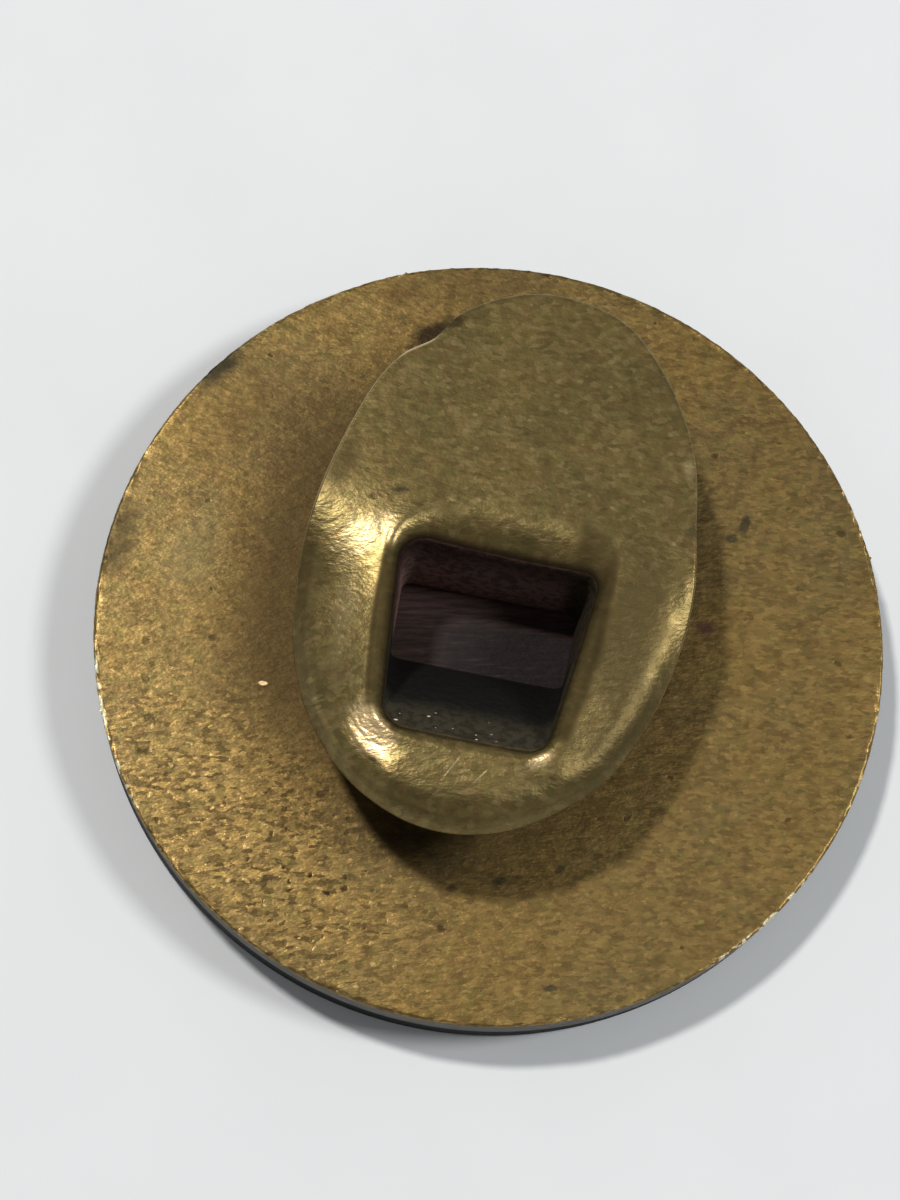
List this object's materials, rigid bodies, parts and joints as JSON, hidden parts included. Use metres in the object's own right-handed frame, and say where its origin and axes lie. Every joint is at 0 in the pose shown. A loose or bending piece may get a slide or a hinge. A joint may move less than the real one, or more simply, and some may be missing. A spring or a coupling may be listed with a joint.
{
  "type": "cufflink",
  "caption": "Round cuff button with a fixed brass bean back: a hollow square post opens in an oval foot and stands on a thin brass plate behind a dark front disc.",
  "frame": {"origin": "centre of the flat of the front disc, which the button rests on", "axes": "+Z from the face up through the post to the foot, +Y towards the long toe of the foot, +X to its right seen from above the foot"},
  "size_m": [0.025, 0.025, 0.0066],
  "materials": {
    "brass": "old unpolished brass, dull and finely pitted, with dark stains, brighter on worn edges",
    "dark_metal": "dark grey gunmetal, satin, with a brighter worn edge"
  },
  "bodies": {
    "root": {"brass_back": "brass", "front_disc": "dark_metal"}
  },
  "joints": []
}
